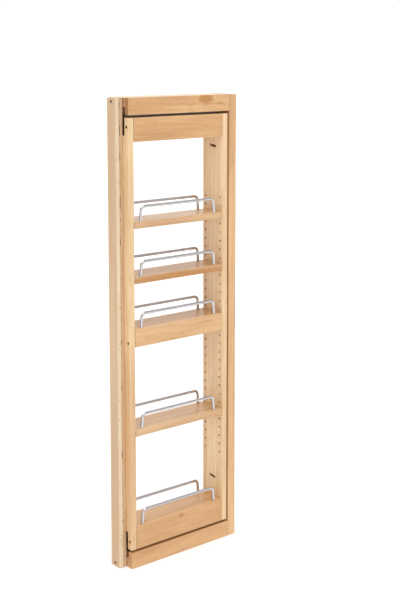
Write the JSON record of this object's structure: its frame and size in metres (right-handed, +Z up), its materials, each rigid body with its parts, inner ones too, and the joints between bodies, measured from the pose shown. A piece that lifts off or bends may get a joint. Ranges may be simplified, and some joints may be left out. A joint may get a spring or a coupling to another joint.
{
  "type": "pull-out filler organiser",
  "caption": "Tall narrow wooden rack with shelves and chrome gallery rails that pulls forward on ball-bearing slides out of a fixed outer frame.",
  "frame": {"origin": "middle of the footprint, on the surface that the outer frame stands on", "axes": "+Z up, -Y the front that the rack pulls out towards, X across the narrow width with the near side at +X"},
  "size_m": [0.0684, 0.3012, 0.9906],
  "materials": {
    "frame_maple": "clear satin lacquer on solid maple",
    "shelf_maple": "clear satin lacquer on solid maple",
    "plywood": "clear lacquered hardwood plywood with bare ply edges",
    "chrome_rod": "bright chrome plate",
    "zinc_plated_steel": "clear zinc plate",
    "cage_steel": "plain stamped steel",
    "ball_steel": "polished bearing steel",
    "pin_steel": "nickel plated",
    "dark_screw": "black phosphate"
  },
  "bodies": {
    "outer_frame": {"outer_back_stile": "frame_maple", "outer_top_board": "frame_maple", "outer_bottom_board": "frame_maple", "outer_top_near_strip": "frame_maple", "outer_top_far_strip": "frame_maple", "outer_bottom_near_strip": "frame_maple", "outer_bottom_far_strip": "frame_maple", "top_slide_web": "frame_maple", "bottom_slide_web": "frame_maple", "outer_back_screws": "dark_screw", "slide_web_screws": "dark_screw", "top_near_slide_fixed": "zinc_plated_steel", "top_far_slide_fixed": "zinc_plated_steel", "bottom_near_slide_fixed": "zinc_plated_steel", "bottom_far_slide_fixed": "zinc_plated_steel"},
    "rack": {"front_stile": "frame_maple", "back_stile": "frame_maple", "cleat": "plywood", "top_rail_board": "frame_maple", "bottom_shelf": "shelf_maple", "fixed_shelf": "shelf_maple", "near_top_rail": "frame_maple", "near_bottom_rail": "frame_maple", "near_fixed_shelf_apron": "frame_maple", "far_top_rail": "frame_maple", "far_bottom_rail": "frame_maple", "far_fixed_shelf_apron": "frame_maple", "fixed_shelf_near_gallery": "chrome_rod", "fixed_shelf_far_gallery": "chrome_rod", "bottom_shelf_near_gallery": "chrome_rod", "bottom_shelf_far_gallery": "chrome_rod", "top_near_slide_moving": "zinc_plated_steel", "top_far_slide_moving": "zinc_plated_steel", "bottom_near_slide_moving": "zinc_plated_steel", "bottom_far_slide_moving": "zinc_plated_steel", "front_stile_screws": "dark_screw", "back_stile_screws": "dark_screw", "cleat_screws": "dark_screw", "slide_board_screws": "dark_screw", "shelf_pins": "pin_steel"},
    "slide_middles": {"top_near_slide_middle": "zinc_plated_steel", "top_far_slide_middle": "zinc_plated_steel", "bottom_near_slide_middle": "zinc_plated_steel", "bottom_far_slide_middle": "zinc_plated_steel"},
    "outer_cages": {"outer_ball_cages": "cage_steel", "outer_balls": "ball_steel"},
    "inner_cages": {"inner_ball_cages": "cage_steel", "inner_balls": "ball_steel"},
    "top_shelf_body": {"top_shelf": "shelf_maple", "top_shelf_near_gallery": "chrome_rod", "top_shelf_far_gallery": "chrome_rod"},
    "second_shelf_body": {"second_shelf": "shelf_maple", "second_shelf_near_gallery": "chrome_rod", "second_shelf_far_gallery": "chrome_rod"},
    "fourth_shelf_body": {"fourth_shelf": "shelf_maple", "fourth_shelf_near_gallery": "chrome_rod", "fourth_shelf_far_gallery": "chrome_rod"}
  },
  "joints": [
    {"name": "pull_out", "type": "slide", "parent": "outer_frame", "child": "rack", "axis": [0, -1, 0], "range_m": [0, 0.25]},
    {"name": "slide_middle_travel", "type": "slide", "parent": "outer_frame", "child": "slide_middles", "axis": [0, -1, 0], "range_m": [0, 0.125]},
    {"name": "outer_cage_travel", "type": "slide", "parent": "outer_frame", "child": "outer_cages", "axis": [0, -1, 0], "range_m": [0, 0.0625]},
    {"name": "inner_cage_travel", "type": "slide", "parent": "outer_frame", "child": "inner_cages", "axis": [0, -1, 0], "range_m": [0, 0.1875]},
    {"name": "top_shelf_lift", "type": "slide", "parent": "rack", "child": "top_shelf_body", "axis": [0, 0, 1], "range_m": [0, 0.06]},
    {"name": "second_shelf_lift", "type": "slide", "parent": "rack", "child": "second_shelf_body", "axis": [0, 0, 1], "range_m": [0, 0.06]},
    {"name": "fourth_shelf_lift", "type": "slide", "parent": "rack", "child": "fourth_shelf_body", "axis": [0, 0, 1], "range_m": [0, 0.06]}
  ],
  "couplings": [
    {"joint": "slide_middle_travel", "follows": "pull_out", "ratio": 0.5},
    {"joint": "outer_cage_travel", "follows": "pull_out", "ratio": 0.25},
    {"joint": "inner_cage_travel", "follows": "pull_out", "ratio": 0.75}
  ]
}
